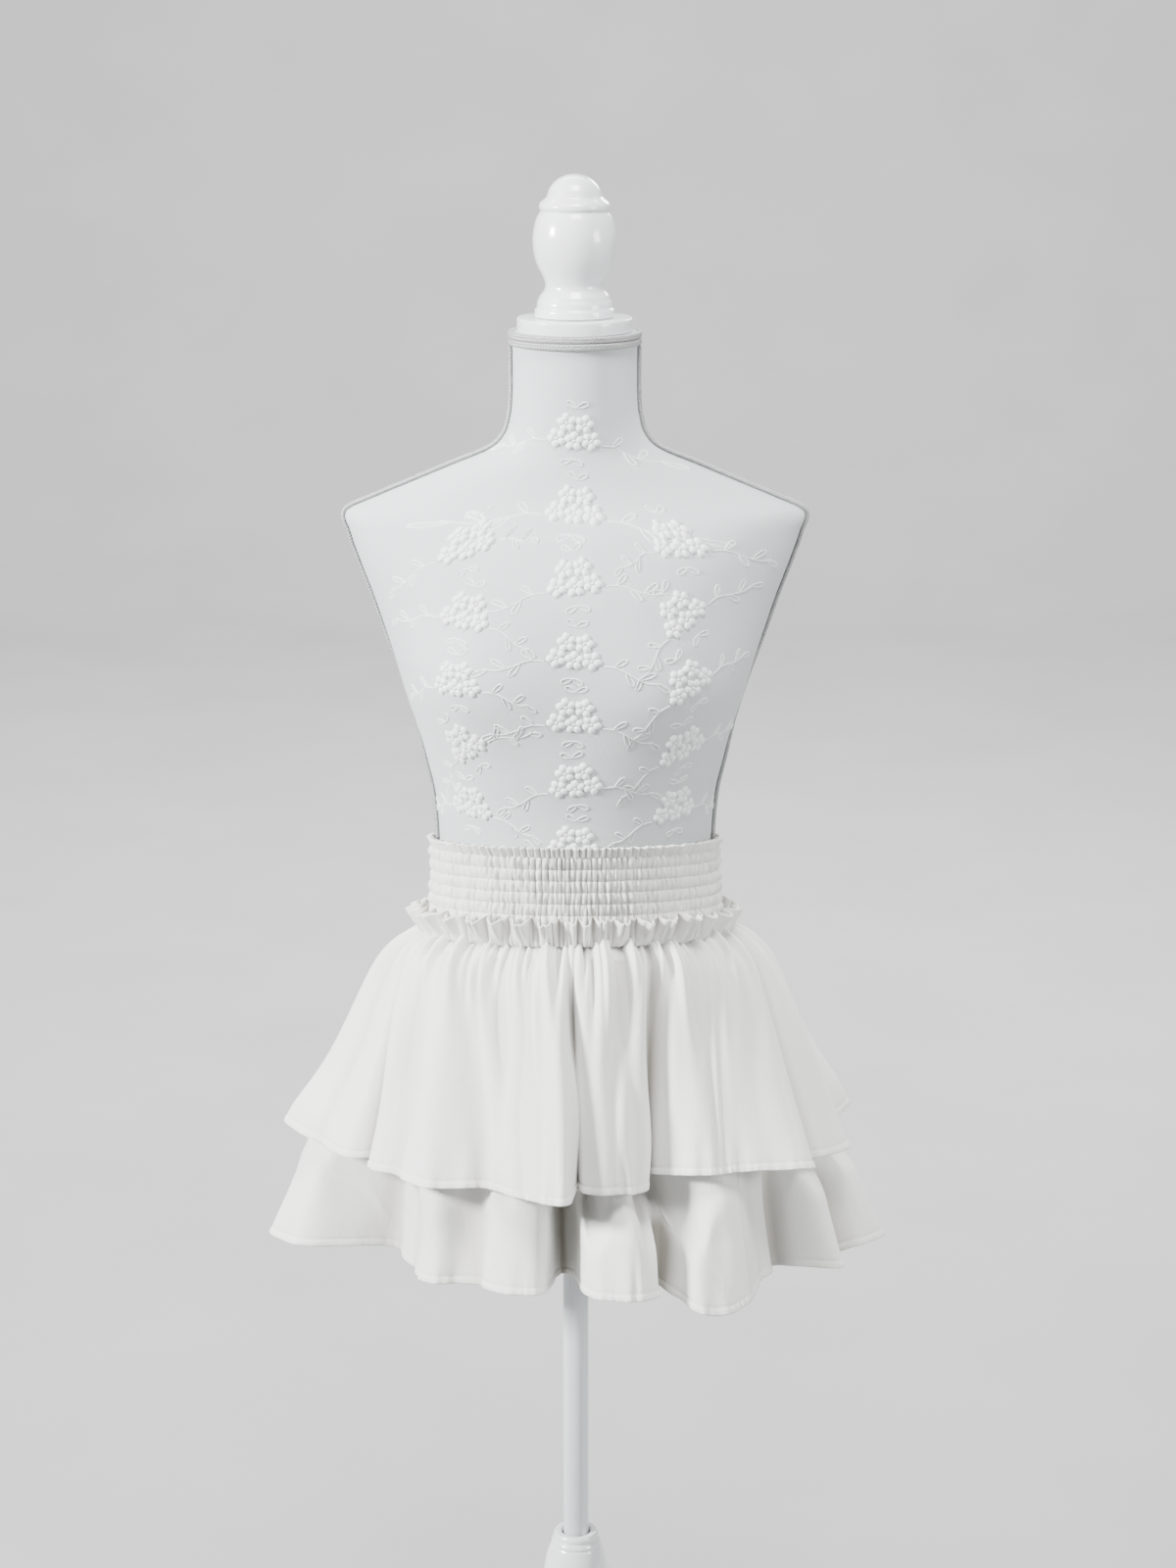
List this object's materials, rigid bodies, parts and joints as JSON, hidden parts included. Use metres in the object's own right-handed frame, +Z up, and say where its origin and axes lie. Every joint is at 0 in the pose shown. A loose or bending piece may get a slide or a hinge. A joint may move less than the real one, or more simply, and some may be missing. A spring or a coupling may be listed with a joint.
{
  "type": "tiered skort on a dress form",
  "caption": "Smocked-waist tiered ruffle skort worn by a limbless dress form on a turned wooden tripod stand.",
  "frame": {"origin": "centre of the floor area under the object, on the floor plane, in line with the stand's pole", "axes": "+Z up along the pole, -Y towards the front of the garment, +X to the right seen from the front"},
  "size_m": [0.5258, 0.4153, 1.5495],
  "materials": {
    "skirt_cloth": "smooth plain weave with a soft sheen, ivory white",
    "smocked_cloth": "ivory white cloth shirred on rows of elastic",
    "shorts_cloth": "smooth plain weave, ivory white",
    "form_cover": "fine pale grey-white cotton with raised white embroidery",
    "braid": "silvery white plaited braid",
    "white_paint": "turned wood, satin white paint",
    "painted_tube": "white enamelled steel tube"
  },
  "bodies": {
    "root": {"form_body": "form_cover", "side_braid_left": "braid", "side_braid_right": "braid", "neck_braid_upper": "braid", "neck_braid_lower": "braid", "neck_cap": "white_paint", "finial": "white_paint", "column": "white_paint", "leg_1": "white_paint", "leg_2": "white_paint", "leg_3": "white_paint", "pole": "painted_tube", "waistband_front": "smocked_cloth", "waistband_back": "smocked_cloth", "heading_front": "skirt_cloth", "heading_back": "skirt_cloth", "upper_tier_front": "skirt_cloth", "upper_tier_back": "skirt_cloth", "lower_tier_front": "skirt_cloth", "lower_tier_back": "skirt_cloth", "shorts_left": "shorts_cloth", "shorts_right": "shorts_cloth"}
  },
  "joints": []
}
